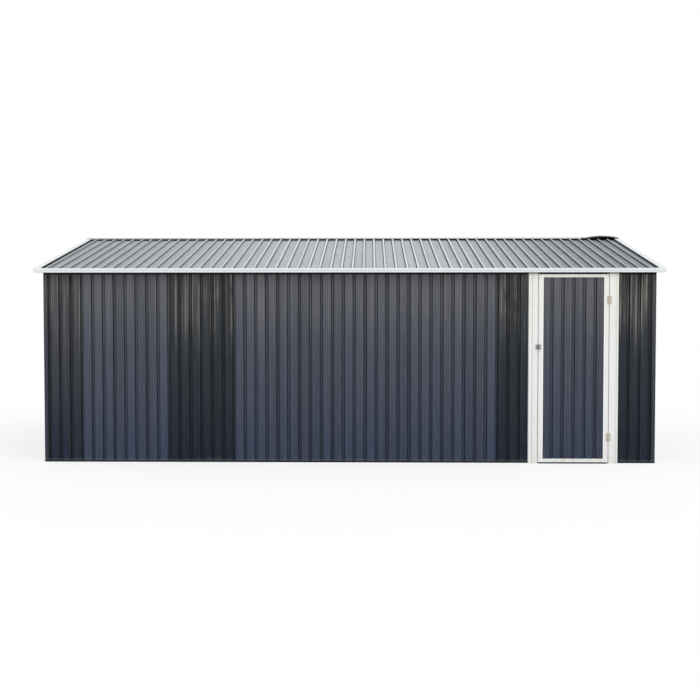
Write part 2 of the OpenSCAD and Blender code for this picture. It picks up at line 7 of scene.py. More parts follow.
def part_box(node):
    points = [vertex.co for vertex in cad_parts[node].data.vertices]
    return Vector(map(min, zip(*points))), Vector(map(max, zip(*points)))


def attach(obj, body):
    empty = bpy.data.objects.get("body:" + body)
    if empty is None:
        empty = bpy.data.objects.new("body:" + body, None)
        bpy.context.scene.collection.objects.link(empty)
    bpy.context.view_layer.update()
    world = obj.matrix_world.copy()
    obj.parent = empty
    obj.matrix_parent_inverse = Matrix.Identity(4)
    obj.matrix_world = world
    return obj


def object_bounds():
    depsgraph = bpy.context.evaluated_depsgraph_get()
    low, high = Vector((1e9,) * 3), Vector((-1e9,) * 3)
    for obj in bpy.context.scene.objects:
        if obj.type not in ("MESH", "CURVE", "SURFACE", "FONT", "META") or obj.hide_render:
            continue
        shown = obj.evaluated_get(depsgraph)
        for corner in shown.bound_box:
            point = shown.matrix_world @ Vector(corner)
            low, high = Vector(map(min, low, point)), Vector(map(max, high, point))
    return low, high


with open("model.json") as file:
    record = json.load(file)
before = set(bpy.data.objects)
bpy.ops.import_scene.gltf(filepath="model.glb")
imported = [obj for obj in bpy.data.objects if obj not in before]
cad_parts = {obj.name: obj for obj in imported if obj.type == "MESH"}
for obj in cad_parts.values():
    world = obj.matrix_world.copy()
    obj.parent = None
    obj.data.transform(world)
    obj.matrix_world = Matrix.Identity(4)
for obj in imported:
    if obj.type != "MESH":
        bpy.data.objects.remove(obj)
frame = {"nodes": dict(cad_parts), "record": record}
firstLow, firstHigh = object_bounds()
nodes = frame["nodes"]
print("frame loaded:", len(nodes), "nodes")


class Flow:  # a shader socket that takes part in plain Python sums
    def __init__(self, tree, socket=None):
        self.tree, self.socket = tree, socket

    def node(self, kind, settings, inputs, output=0):
        made = self.tree.nodes.new(kind)
        for name, value in settings.items():
            setattr(made, name, value)
        for name, value in inputs.items():
            if isinstance(value, Flow):
                self.tree.links.new(value.socket, made.inputs[name])
            else:
                made.inputs[name].default_value = value
        return Flow(self.tree, made.outputs[output])

    def sum(self, operation, *terms):
        return self.node("ShaderNodeMath", {"operation": operation}, dict(enumerate(terms)))

    def __add__(self, other):
        return self.sum("ADD", self, other)

    def __radd__(self, other):
        return self.sum("ADD", other, self)

    def __sub__(self, other):
        return self.sum("SUBTRACT", self, other)

    def __rsub__(self, other):
        return self.sum("SUBTRACT", other, self)

    def __mul__(self, other):
        return self.sum("MULTIPLY", self, other)

    def __rmul__(self, other):
        return self.sum("MULTIPLY", other, self)

    def __abs__(self):
        return self.sum("ABSOLUTE", self)

    def least(self, other):
        return self.sum("MINIMUM", self, other)

    def most(self, other):
        return self.sum("MAXIMUM", self, other)

    def ramp(self, start, end, low=0.0, high=1.0):
        return self.node("ShaderNodeMapRange", {"interpolation_type": "SMOOTHSTEP"},
                         {"Value": self, "From Min": start, "From Max": end,
                          "To Min": low, "To Max": high})

    def mix(self, factor, first, second):
        return self.node("ShaderNodeMix", {"data_type": "RGBA"}, {0: factor, 6: first, 7: second}, 2)

    def axes(self, output):
        parts = self.node("ShaderNodeTexCoord", {}, {}, output)
        return [self.node("ShaderNodeSeparateXYZ", {}, {0: parts}, axis) for axis in "XYZ"]

    def grain(self, stretch, scale, detail=3.0, roughness=0.55, shift=(0, 0, 0)):
        place = self.node("ShaderNodeTexCoord", {}, {}, "Object")
        place = self.node("ShaderNodeMapping", {}, {"Vector": place, "Scale": stretch, "Location": shift})
        return self.node("ShaderNodeTexNoise", {},
                         {"Vector": place, "Scale": scale, "Detail": detail, "Roughness": roughness})


def newMaterial(name):
    material = bpy.data.materials.new(name)
    material.use_nodes = True
    return material, Flow(material.node_tree)


def paintOn(material, colour, rough, height, depth, metal=0.0, gloss=0.5):
    shader = material.node_tree.nodes["Principled BSDF"]
    flow = Flow(material.node_tree)
    links = material.node_tree.links
    links.new(colour.socket, shader.inputs["Base Color"])
    links.new(rough.socket, shader.inputs["Roughness"])
    bump = flow.node("ShaderNodeBump", {}, {"Height": height, "Distance": depth, "Strength": 0.6})
    links.new(bump.socket, shader.inputs["Normal"])
    shader.inputs["Metallic"].default_value = metal
    shader.inputs["Specular IOR Level"].default_value = gloss
    return material


def rgba(colour):
    return (*colour, 1.0)


# Coated wall sheet: colours at the eaves and at the ground, which paint a reflection lighter towards the
# eaves, how dark the painted shade on the groove flanks and groove floors is, painted reflection streaks
wallLight = {"top": (0.102, 0.106, 0.118), "middle": (0.063, 0.069, 0.096), "foot": (0.034, 0.048, 0.084),
             "flank": 0.86, "floor": 0.26, "ribTone": 0.28, "reflectionStreak": (0.21, 0.20, 0.18),
             "reflectionStreakAmount": 0.46}
wallDull = {"top": (0.068, 0.072, 0.073), "middle": (0.038, 0.042, 0.052), "foot": (0.008, 0.015, 0.034),
            "flank": 0.95, "floor": 0.45, "ribTone": 0.50, "reflectionStreak": (0.28, 0.27, 0.25),
             "reflectionStreakAmount": 0.70}
wallDark = {"top": (0.056, 0.058, 0.057), "middle": (0.023, 0.029, 0.038), "foot": (0.005, 0.013, 0.028),
            "flank": 0.95, "floor": 0.45, "ribTone": 0.45, "reflectionStreak": (0.31, 0.29, 0.25),
             "reflectionStreakAmount": 0.80}
wallSides = {"top": (0.072, 0.074, 0.080), "middle": (0.048, 0.053, 0.068), "foot": (0.028, 0.035, 0.050),
             "flank": 0.90, "floor": 0.35, "ribTone": 0.30, "reflectionStreak": (0.16, 0.145, 0.12),
             "reflectionStreakAmount": 0.35}
wallGable = dict(wallSides, eaveShade=0.0)  # the gables rise above the eaves
grooveDepth = 0.010


def wallPaint(name, look, faceX, faceY):
    # faceX and faceY: how far the sheets' outer faces are from the middle of the building
    material, flow = newMaterial(name)
    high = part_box("door_head")[1].z
    x, y, z = flow.axes("Object")
    across, along = flow.axes("Normal")[:2]
    # painted reflection: the sheet is lighter towards the eaves and darker towards the ground
    colour = flow.mix(z.ramp(0.0, high * 0.6), rgba(look["foot"]), rgba(look["middle"]))
    colour = flow.mix(z.ramp(high * 0.55, high), colour, rgba(look["top"]))
    ribTone = flow.grain((1, 1, 0.02), 8.5, 2.0).ramp(0.42, 0.62) * look["ribTone"]
    colour = flow.mix(ribTone, colour, rgba(tuple(c * 0.35 for c in look["middle"])))
    # painted reflection: brownish-grey vertical streaks over the upper half of the wall
    reflectionStreak = flow.grain((1, 1, 0.010), 58.0, 5.0, 0.75).ramp(0.47, 0.64)
    broken = flow.grain((1, 1, 0.35), 9.0, 3.0).ramp(0.26, 0.58)
    colour = flow.mix(reflectionStreak * broken * z.ramp(high * 0.48, high * 0.92) * look["reflectionStreakAmount"], colour,
                      rgba(look["reflectionStreak"]))
    fine = flow.grain((1, 1, 0.12), 60.0, 2.0).ramp(0.35, 0.75, 0.0, 0.14)
    colour = flow.mix(fine, colour, rgba(tuple(c * 1.8 for c in look["middle"])))
    dust = flow.grain((1, 1, 1), 9.0, 5.0, 0.65).ramp(0.45, 0.72) * z.ramp(0.12, 0.0) * 0.20
    colour = flow.mix(dust, colour, rgba((0.12, 0.115, 0.10)))
    # painted shade darkens the floors of the grooves
    inward = (abs(x) - faceX).most(abs(y) - faceY)
    colour = flow.mix(inward.ramp(0.0 - grooveDepth * 0.3, 0.0 - grooveDepth * 0.9) * look["floor"], colour,
                      rgba((0.006, 0.007, 0.010)))
    # painted shade darkens the steep flanks of the grooves
    steep = abs(across).least(abs(along)).ramp(0.10, 0.50)
    colour = flow.mix(steep * look["flank"], colour, rgba((0.002, 0.003, 0.004)))
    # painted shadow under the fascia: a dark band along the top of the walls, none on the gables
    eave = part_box("fascia_front")[0].z
    colour = flow.mix(z.ramp(eave - 0.024, eave - 0.010) * look.get("eaveShade", 0.95), colour,
                      rgba((0.002, 0.002, 0.002)))
    colour = flow.mix(abs(z - 0.026).ramp(0.007, 0.002) * 0.16, colour, rgba((0.30, 0.32, 0.38)))
    colour = flow.mix(z.ramp(0.016, 0.008) * 0.75, colour, rgba((0.004, 0.005, 0.007)))
    rough = flow.grain((1, 1, 0.3), 14.0, 3.0).ramp(0.2, 0.8, 0.44, 0.60)
    height = flow.grain((1, 1, 0.25), 3.0, 1.0) + flow.grain((1, 1, 1), 700.0, 1.0) * 0.05
    return paintOn(material, colour, rough, height, 0.0015, gloss=0.2)


# Coated roof sheet: flats, rib tops with a painted highlight, and the rib flanks towards each side with
# painted shade; the sheet carries a painted reflection, brightest near x = brightest and darker towards
# both ends, and painted shadow lines along the verge trims and the ridge cap
roofLook = {"flat": (0.430, 0.460, 0.480), "old": (0.365, 0.390, 0.415), "top": (0.66, 0.69, 0.71),
            "leftFlank": (0.008, 0.013, 0.020), "rightFlank": (0.120, 0.135, 0.145),
            "farRight": (0.155, 0.185, 0.220), "farLeft": (0.285, 0.315, 0.335), "brightest": 0.30,
            "farTop": (0.37, 0.40, 0.43), "gap": (0.006, 0.006, 0.007), "trimShadowWidth": 0.007}


def slopeHeight(point, tilt):
    return point.z * math.cos(tilt) + abs(point.y) * math.sin(tilt)


def trimInnerEdge():
    # smallest x at which the right verge trim lies over the roof sheet, found by looking down on both
    low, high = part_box("verge_trim_right")
    down = Vector((0, 0, -1))
    x = low.x
    while x < high.x:
        start = Vector((x, low.y * 0.5, high.z + 1))
        onTrim = nodes["verge_trim_right"].ray_cast(start, down)
        onRoof = nodes["roof_front"].ray_cast(start, down)
        if onTrim[0] and (not onRoof[0] or onTrim[1].z > onRoof[1].z):
            return x
        x += 0.001
    return low.x


trimEdge = trimInnerEdge()


def roofPaint(name, look, tilt, ribTop):
    material, flow = newMaterial(name)
    x, y, z = flow.axes("Object")
    across = flow.axes("Normal")[0]
    onSlope = z * math.cos(tilt) + abs(y) * math.sin(tilt)
    colour = flow.mix(flow.grain((1, 0.12, 0.5), 7.0, 4.0, 0.6).ramp(0.3, 0.75), rgba(look["flat"]),
                      rgba(look["old"]))
    wash = flow.grain((1, 0.05, 0.3), 42.0, 3.0).ramp(0.5, 0.8, 0.0, 0.22)
    colour = flow.mix(wash, colour, rgba((0.24, 0.25, 0.27)))
    # painted reflection: flats and rib tops darken away from x = brightest towards both ends
    rightward = (x - look["brightest"]).ramp(0.4, 2.4)
    leftward = (look["brightest"] - x).ramp(0.4, 3.0)
    colour = flow.mix(rightward * 0.9, colour, rgba(look["farRight"]))
    colour = flow.mix(leftward * 0.85, colour, rgba(look["farLeft"]))
    # painted highlight on the rib tops, dimmer towards both ends
    topColour = flow.mix(rightward.most(leftward), rgba(look["top"]), rgba(look["farTop"]))
    colour = flow.mix(onSlope.ramp(ribTop - 0.004, ribTop - 0.001), colour, topColour)
    # painted shade on the rib flanks, darkest on flanks facing -x
    colour = flow.mix((0.0 - across).ramp(0.25, 0.7), colour, rgba(look["leftFlank"]))
    colour = flow.mix(across.ramp(0.25, 0.7), colour, rgba(look["rightFlank"]))
    # painted shadow: a dark line on the sheet along the inner edge of the verge trims
    colour = flow.mix(abs(x).ramp(trimEdge - look["trimShadowWidth"] - 0.002, trimEdge - look["trimShadowWidth"]), colour,
                      rgba(look["gap"]))
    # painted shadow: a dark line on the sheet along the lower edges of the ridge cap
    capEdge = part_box("ridge_cap")[1].y
    colour = flow.mix(abs(y).ramp(capEdge - 0.002, capEdge - 0.006), colour, rgba(look["gap"]))
    rough = flow.grain((1, 0.2, 1), 18.0, 3.0).ramp(0.2, 0.8, 0.34, 0.52)
    height = flow.grain((1, 0.3, 1), 4.0, 1.0) + flow.grain((1, 1, 1), 600.0, 1.0) * 0.05
    return paintOn(material, colour, rough, height, 0.001, gloss=0.4)


# Even coatings: colour, worn colour, how much wear, roughness
trimLook = {"clean": (0.76, 0.79, 0.80), "worn": (0.62, 0.63, 0.62), "wear": 0.16, "rough": 0.42,
            "metal": 0.0, "vergeShadowLineWidth": 0.003}
doorLook = {"clean": (0.79, 0.80, 0.78), "worn": (0.56, 0.53, 0.46), "wear": 0.20, "rough": 0.46,
            "metal": 0.0, "stileWidth": 0.0455, "pressedLeft": 0.034, "pressedRight": 0.017}
zincLook = {"clean": (0.52, 0.54, 0.56), "worn": (0.34, 0.35, 0.36), "wear": 0.75, "rough": 0.42,
            "metal": 0.85}
fittingLook = {"clean": (0.56, 0.51, 0.44), "worn": (0.34, 0.31, 0.27), "wear": 0.5, "rough": 0.45,
               "metal": 0.35}
latchLook = {"clean": (0.26, 0.265, 0.235), "worn": (0.17, 0.17, 0.15), "wear": 0.5, "rough": 0.5,
             "metal": 0.2}
knobLook = {"clean": (0.72, 0.72, 0.69), "worn": (0.50, 0.50, 0.48), "wear": 0.3, "rough": 0.35,
            "metal": 0.3}
capLook = {"clean": (0.36, 0.38, 0.40), "worn": (0.22, 0.23, 0.25), "wear": 0.5, "rough": 0.42,
           "metal": 0.0}
capEndLook = {"clean": (0.045, 0.046, 0.05), "worn": (0.014, 0.014, 0.016), "wear": 0.6, "rough": 0.5,
              "metal": 0.0}
# near-black foam colour, standing in for the shade under the ridge cap
shadeFoamLook = {"clean": (0.006, 0.006, 0.007), "worn": (0.014, 0.014, 0.014), "wear": 0.5, "rough": 0.88,
            "metal": 0.0, "gloss": 0.05}


def wornCoat(flow, look, stretch, start=0.42, end=0.78):
    patch = flow.grain(stretch, 12.0, 4.0, 0.6).ramp(start, end) * look["wear"]
    return flow.mix(patch, rgba(look["clean"]), rgba(look["worn"]))


def finishCoat(material, flow, colour, look, gloss):
    rough = flow.grain((1, 1, 1), 24.0, 3.0).ramp(0.2, 0.8, look["rough"] - 0.07, look["rough"] + 0.1)
    return paintOn(material, colour, rough, flow.grain((1, 1, 1), 300.0, 2.0), 0.0002, look["metal"], gloss)


def plainPaint(name, look, stretch=(1, 1, 1), scale=12.0):
    material, flow = newMaterial(name)
    patch = flow.grain(stretch, scale, 4.0, 0.6).ramp(0.42, 0.78)
    speck = flow.grain((1, 1, 1), scale * 14, 3.0, 0.7).ramp(0.58, 0.80)
    colour = flow.mix((patch * 0.7 + speck * 0.3) * look["wear"], rgba(look["clean"]), rgba(look["worn"]))
    rough = flow.grain((1, 1, 1), scale * 2, 3.0).ramp(0.2, 0.8, look["rough"] - 0.07, look["rough"] + 0.1)
    height = flow.grain((1, 1, 1), scale * 30, 2.0)
    return paintOn(material, colour, rough, height, 0.0002, look["metal"], look.get("gloss", 0.4))


def capPaint(name, look):  # dark below, where the sky's light doesn't reach
    material, flow = newMaterial(name)
    up = flow.axes("Normal")[2]
    colour = flow.mix(up.ramp(0.3, -0.3), wornCoat(flow, look, (0.2, 1, 1), 0.4, 0.75),
                      rgba((0.004, 0.004, 0.005)))
    return finishCoat(material, flow, colour, look, 0.3)


def fasciaPaint(name, look):  # painted shade along a pressed line in the middle of its face, and along its lower edge
    material, flow = newMaterial(name)
    z = flow.axes("Object")[2]
    low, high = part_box("fascia_front")
    # painted shade: a grey line along the middle of the face
    line = abs(z - (low.z + high.z) / 2).ramp(0.005, 0.001) * 0.55
    colour = flow.mix(line, wornCoat(flow, look, (0.4, 1, 1)), rgba((0.40, 0.42, 0.43)))
    # painted shade darkens the lowest few millimetres of the face
    colour = flow.mix(z.ramp(low.z + 0.006, low.z + 0.002) * 0.6, colour, rgba((0.20, 0.20, 0.20)))
    return finishCoat(material, flow, colour, look, 0.4)


def vergePaint(name, look):  # painted shadow: a dark line where the trim meets the sheets, and painted shade on the inner faces
    material, flow = newMaterial(name)
    x = flow.axes("Object")[0]
    across = flow.axes("Normal")[0]
    # painted shade on faces turned towards the middle of the roof, and a painted shadow line along the
    # inner edge
    inside = (0.0 - across * x).ramp(0.6, 1.8)
    line = abs(x).ramp(trimEdge + look["vergeShadowLineWidth"] + 0.002, trimEdge + look["vergeShadowLineWidth"])
    colour = flow.mix(inside.most(line) * 0.96, wornCoat(flow, look, (1, 0.4, 1)),
                      rgba((0.010, 0.011, 0.012)))
    return finishCoat(material, flow, colour, look, 0.3)


def agedAndShadedDoorPaint(name, look):  # creamier towards the head of the frame, dust near the ground; painted highlights on the stile edges and side faces, painted shade along the pressed lines and painted shadow under the fascia
    material, flow = newMaterial(name)
    x, y, z = flow.axes("Object")
    across = flow.axes("Normal")[0]
    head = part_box("door_head")[1].z
    colour = flow.mix(z.ramp(head * 0.55, head) * 0.5, rgba(look["clean"]), rgba((0.80, 0.775, 0.69)))
    patch = flow.grain((1, 1, 0.2), 16.0, 4.0, 0.62).ramp(0.45, 0.8) * look["wear"]
    colour = flow.mix(patch, colour, rgba(look["worn"]))
    low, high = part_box("leaf_stiles")
    edges = [low.x + look["stileWidth"], high.x - look["stileWidth"]]
    pressed = [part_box("jamb_left")[0].x + look["pressedLeft"],
               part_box("jamb_right")[1].x - look["pressedRight"]]
    # painted highlight: bright lines at the inner edges of the stiles and on faces that point sideways
    bright = abs(x - edges[0]).least(abs(x - edges[1])).ramp(0.010, 0.005) * 0.9
    bright = bright.most(abs(across).ramp(0.8, 0.95) * 0.9)
    colour = flow.mix(bright, colour, rgba((0.95, 0.955, 0.955)))
    # painted shade along the pressed lines on the jambs
    pressedLineShade = abs(x - pressed[0]).least(abs(x - pressed[1])).ramp(0.006, 0.002) * 0.42
    colour = flow.mix(pressedLineShade, colour, rgba((0.33, 0.33, 0.31)))
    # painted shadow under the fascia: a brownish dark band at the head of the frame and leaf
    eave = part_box("fascia_front")[0].z
    colour = flow.mix(z.ramp(eave - 0.024, eave - 0.006) * 0.72, colour, rgba((0.17, 0.145, 0.11)))
    dust = flow.grain((1, 1, 1), 22.0, 5.0, 0.7).ramp(0.4, 0.7) * z.ramp(0.16, 0.0) * 0.4
    colour = flow.mix(dust, colour, rgba((0.40, 0.36, 0.30)))
    rough = flow.grain((1, 1, 1), 20.0, 3.0).ramp(0.2, 0.8, 0.38, 0.55)
    height = flow.grain((1, 1, 0.5), 300.0, 2.0)
    return paintOn(material, colour, rough, height, 0.0002, 0.0, 0.4)


roofMesh = nodes["roof_front"].data.vertices
tiltAngle = math.radians(12)
ribTopHeight = max(slopeHeight(v.co, tiltAngle) for v in roofMesh)
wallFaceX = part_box("right_gable_wall")[1].x
wallFaceY = -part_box("front_panel_2")[0].y
paints = {
    "wallLight": wallPaint("wallLight", wallLight, wallFaceX, wallFaceY),
    "wallDull": wallPaint("wallDull", wallDull, wallFaceX, wallFaceY),
    "wallDark": wallPaint("wallDark", wallDark, wallFaceX, wallFaceY),
    "wallSides": wallPaint("wallSides", wallSides, wallFaceX, wallFaceY),
    "wallGable": wallPaint("wallGable", wallGable, wallFaceX, wallFaceY),
    "leaf": wallPaint("leafSheet", wallLight, wallFaceX, -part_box("leaf_panel")[0].y),
    "roof": roofPaint("roofSheet", roofLook, tiltAngle, ribTopHeight),
    "cap": capPaint("ridgeCapping", capLook),
    "capEnd": capPaint("ridgeCappingEnd", capEndLook),
    "fascia": fasciaPaint("fasciaWhite", trimLook),
    "verge": vergePaint("vergeWhite", trimLook),
    "trim": plainPaint("whiteTrim", trimLook, (0.4, 1, 1)),
    "door": agedAndShadedDoorPaint("doorWhite", doorLook),
    "zinc": plainPaint("zincSteel", zincLook, (1, 1, 1), 40.0),
    "fitting": plainPaint("fittingSteel", fittingLook, (1, 1, 1), 60.0),
    "latch": plainPaint("latchSteel", latchLook, (1, 1, 1), 60.0),
    "knob": plainPaint("knobSteel", knobLook, (1, 1, 1), 60.0),
    "shadeFoam": plainPaint("darkShadeFoam", shadeFoamLook, (1, 1, 1), 60.0),
}
darkPanels = ["front_panel_3", "front_panel_8", "front_panel_9"]
bySlot = {s["node"]: s["material_slot"] for s in frame["record"]["subparts"]}
slotPaint = {"wall_sheet": "wallSides", "roof_sheet": "roof", "white_trim": "trim", "door_white": "door",
             "zinc_steel": "zinc", "fitting_steel": "fitting"}


def paintFor(name):
    if name in darkPanels:
        return paints["wallDark"]
    if name == "front_panel_1":
        return paints["wallDull"]
    if name.endswith("gable_wall"):
        return paints["wallGable"]
    if name.startswith("verge_trim"):
        return paints["verge"]
    if name == "leaf_panel":
        return paints["leaf"]
    if name.startswith("front_panel"):
        return paints["wallLight"]
    if name == "ridge_cap_end":
        return paints["capEnd"]
    if name == "ridge_cap":
        return paints["cap"]
    if name.startswith("fascia"):
        return paints["fascia"]
    if name.startswith("latch"):
        return paints["latch"]
    return paints[slotPaint[bySlot[name]]]


for name, node in nodes.items():
    for index in range(len(node.data.materials)):
        node.data.materials[index] = paintFor(name)
print("materials made and given to the frame:", len(paints))


def spread(values, gap):
    # middles of the groups that sorted values fall into
    groups = []
    for value in sorted(values):
        if groups and value - groups[-1][-1] < gap:
            groups[-1].append(value)
        else:
            groups.append([value])
    return [(group[0] + group[-1]) / 2 for group in groups]


def cleanStart():
    bpy.ops.object.select_all(action="DESELECT")


def settle(piece, name, material, body):
    piece.name = name
    piece.data.name = name
    piece.data.materials.clear()
    piece.data.materials.append(material)
    bpy.ops.object.transform_apply(location=True, rotation=True, scale=True)
    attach(piece, body)
    return piece


def headMesh(look):
    # a screw head standing on z = 0: a washer, then a head whose top is inset and sunk a little
    cleanStart()
    bpy.ops.mesh.primitive_cylinder_add(vertices=look["sides"], radius=look["headRadius"],
                                        depth=look["headHeight"],
                                        location=(0, 0, look["washer"] + look["headHeight"] / 2))
    head = bpy.context.object
    bpy.ops.object.mode_set(mode="EDIT")
    bpy.ops.mesh.select_all(action="DESELECT")
    bpy.ops.object.mode_set(mode="OBJECT")
    for face in head.data.polygons:
        face.select = face.normal.z > 0.9
    bpy.ops.object.mode_set(mode="EDIT")
    bpy.ops.mesh.select_mode(type="FACE")
    bpy.ops.mesh.inset(thickness=look["headRadius"] * 0.28, depth=look["headHeight"] * 0.16)
    bpy.ops.mesh.inset(thickness=look["headRadius"] * 0.22, depth=-look["headHeight"] * 0.2)
    bpy.ops.object.mode_set(mode="OBJECT")
    if look["washer"] > 0:
        bpy.ops.mesh.primitive_cylinder_add(vertices=16, radius=look["washerRadius"],
                                            depth=look["washer"], location=(0, 0, look["washer"] / 2))
        ring = bpy.context.object
        bevel = ring.modifiers.new("edge", "BEVEL")
        bevel.width = look["washer"] * 0.35
        bevel.segments = 1
        bpy.ops.object.modifier_apply(modifier="edge")
        head.select_set(True)
        bpy.context.view_layer.objects.active = head
        bpy.ops.object.join()
    return bpy.context.object


def screwRow(name, look, start, step, count, turn, material, body):
    # one head, repeated by an array along step, turned so that its top faces out, at start
    piece = headMesh(look)
    piece.data.transform(turn.to_4x4())
    if count > 1:
        array = piece.modifiers.new("row", "ARRAY")
        array.use_relative_offset = False
        array.use_constant_offset = True
        array.constant_offset_displace = step
        array.count = count
        bpy.ops.object.modifier_apply(modifier="row")
    piece.location = start
    return settle(piece, name, material, body)


def joinRows(rows, name):
    cleanStart()
    for row in rows:
        row.select_set(True)
    bpy.context.view_layer.objects.active = rows[0]
    bpy.ops.object.join()
    rows[0].name = name
    rows[0].data.name = name
    return rows[0]


# Roof screws: hexagon heads on washers, in rows over the purlins, one in every third flat
roofScrew = {"sides": 6, "headRadius": 0.0052, "headHeight": 0.0045, "washer": 0.0014,
             "washerRadius": 0.0085, "every": 3, "eaveInset": 0.02, "gapToSheet": 0.0001}


ribs = spread([v.co.x for v in roofMesh if slopeHeight(v.co, tiltAngle) > ribTopHeight - 0.0003], 0.03)
pitch = (ribs[-1] - ribs[0]) / (len(ribs) - 1)
ribDepth = 0.016


def roofScrewRows():
    purlinLines = spread([v.co.y for v in nodes["purlins"].data.vertices], 0.05)
    flatHeight = ribTopHeight - ribDepth + roofScrew["gapToSheet"]
    lines = [abs(y) for y in purlinLines if y < 0]
    lines.append(-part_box("top_rails")[0].y - roofScrew["eaveInset"])
    count = int((len(ribs) - 2) / roofScrew["every"]) + 1
    for side, name, turn in ((-1, "roofScrewsFront", tiltAngle), (1, "roofScrewsBack", -tiltAngle)):
        rows = []
        for index, line in enumerate(sorted(lines)):
            z = (flatHeight - line * math.sin(tiltAngle)) / math.cos(tiltAngle)
            start = Vector((ribs[0] + pitch / 2, side * line, z))
            rows.append(screwRow(f"{name}Row{index}", roofScrew, start,
                                 (pitch * roofScrew["every"], 0, 0), count,
                                 Matrix.Rotation(turn, 3, "X"), paints["zinc"], "building"))
        joinRows(rows, name)


roofScrewRows()
print("roof screws placed, rib pitch", round(pitch, 4))

# Dark foam under the ridge cap, coloured near black to stand in for the shade under the cap: a block over
# each flat, and a strip along the ridge below the sprung end
shadeClosure = {"sideGap": 0.017, "thickness": 0.012, "clearOfEdge": 0.014, "rounding": 0.0012, "steps": 14,
           "halfStrip": 0.018}


def shadeClosureBlocks(side, name):
    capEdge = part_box("ridge_cap")[1].y
    line = capEdge - shadeClosure["clearOfEdge"]
    height = ribDepth - 0.0006
    cleanStart()
    bpy.ops.mesh.primitive_cube_add(size=1.0, scale=(pitch - 2 * shadeClosure["sideGap"],
                                                     shadeClosure["thickness"], height))
    block = bpy.context.object
    bpy.ops.object.transform_apply(location=False, rotation=False, scale=True)
    bevel = block.modifiers.new("edge", "BEVEL")
    bevel.width = shadeClosure["rounding"]
    bevel.segments = 1
    bpy.ops.object.modifier_apply(modifier="edge")
    block.data.transform(Matrix.Rotation(-side * tiltAngle, 4, "X"))
    array = block.modifiers.new("row", "ARRAY")
    array.use_relative_offset = False
    array.use_constant_offset = True
    array.constant_offset_displace = (pitch, 0, 0)
    array.count = len(ribs) - 1
    bpy.ops.object.modifier_apply(modifier="row")
    middle = ribTopHeight - ribDepth / 2
    block.location = (ribs[0] + pitch / 2, side * line,
                      (middle - line * math.sin(tiltAngle)) / math.cos(tiltAngle))
    return settle(block, name, paints["shadeFoam"], "building")


def ridgeStrip(name):
    # follows the raised underside of the cap's end, so that no light shows through below it
    low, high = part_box("ridge_cap_end")
    half = shadeClosure["halfStrip"]
    foot = (ribTopHeight - ribDepth - half * math.sin(tiltAngle)) / math.cos(tiltAngle)
    top = high.z
    cleanStart()
    bpy.ops.mesh.primitive_cube_add(size=1.0, location=((low.x + high.x) / 2, 0, (foot + top) / 2),
                                    scale=(high.x - low.x - 0.004, 2 * half, top - foot))
    strip = bpy.context.object
    bpy.ops.object.transform_apply(location=True, rotation=True, scale=True)
    bpy.ops.object.mode_set(mode="EDIT")
    for step in range(1, shadeClosure["steps"]):
        bpy.ops.mesh.select_all(action="SELECT")
        x = low.x + (high.x - low.x) * step / shadeClosure["steps"]
        bpy.ops.mesh.bisect(plane_co=(x, 0, 0), plane_no=(1, 0, 0))
    bpy.ops.object.mode_set(mode="OBJECT")
    for vertex in strip.data.vertices:
        if vertex.co.z > foot + 0.001:
            start = Vector((vertex.co.x, half, foot - 0.2))
            under = nodes["ridge_cap_end"].ray_cast(start, Vector((0, 0, 1)))
            vertex.co.z = (under[1].z if under[0] else foot + ribDepth) - 0.0003
    return settle(strip, name, paints["shadeFoam"], "building")


shadeClosureBlocks(-1, "ridgeShadeFoamFront")
shadeClosureBlocks(1, "ridgeShadeFoamBack")
ridgeStrip("ridgeShadeFoamEnd")
print("foam under the ridge cap placed")

# Wall screws: low coated heads on the floors of the grooves, where the rails run behind them
wallScrew = {"sides": 6, "headRadius": 0.0045, "headHeight": 0.0040, "washer": 0.0012,
             "washerRadius": 0.0068, "every": 3, "gapToSheet": 0.0001}


def wallScrewRows():
    heights = [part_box("base_rail_left")[1].z - 0.012,
               (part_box("mid_rails")[0].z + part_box("mid_rails")[1].z) / 2,
               (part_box("top_rails")[0].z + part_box("top_rails")[1].z) / 2]
    depth = grooveDepth - wallScrew["gapToSheet"]
    frontTurn = Matrix.Rotation(math.radians(90), 3, "X")
    rows = []
    for name in [n for n in nodes if n.startswith("front_panel")]:
        low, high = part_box(name)
        floors = spread([v.co.x for v in nodes[name].data.vertices
                         if abs(v.co.y - low.y - grooveDepth) < 0.0004], 0.03)
        for z in heights:
            for index, x in enumerate(floors[1:-1:wallScrew["every"]]):
                rows.append(screwRow(f"{name}Screw{index}{z:.2f}", wallScrew, (x, low.y + depth, z),
                                     (0, 0, 0), 1, frontTurn, paints["wallDark"],
                                     "building"))
    joinRows(rows, "wallScrewsFront")
    sides = (("back_wall", "wallScrewsBack", "y", 1, Matrix.Rotation(math.radians(-90), 3, "X")),
             ("left_gable_wall", "wallScrewsLeft", "x", -1, Matrix.Rotation(math.radians(-90), 3, "Y")),
             ("right_gable_wall", "wallScrewsRight", "x", 1, Matrix.Rotation(math.radians(90), 3, "Y")))
    for nodeName, pieceName, axis, side, turn in sides:
        low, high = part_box(nodeName)
        face = getattr(high if side > 0 else low, axis)
        other = "x" if axis == "y" else "y"
        floors = spread([getattr(v.co, other) for v in nodes[nodeName].data.vertices
                         if abs(abs(getattr(v.co, axis) - face) - grooveDepth) < 0.0004], 0.03)
        chosen = floors[1:-1:wallScrew["every"]]
        step = (chosen[-1] - chosen[0]) / (len(chosen) - 1)
        rows = []
        for index, z in enumerate(heights):
            start = Vector((chosen[0], face - side * depth, z))
            stride = (step, 0, 0)
            if axis == "x":
                start = Vector((face - side * depth, chosen[0], z))
                stride = (0, step, 0)
            rows.append(screwRow(f"{pieceName}Row{index}", wallScrew, start, stride, len(chosen), turn,
                                 paints["wallSides"], "building"))
        joinRows(rows, pieceName)


wallScrewRows()
print("wall screws placed")

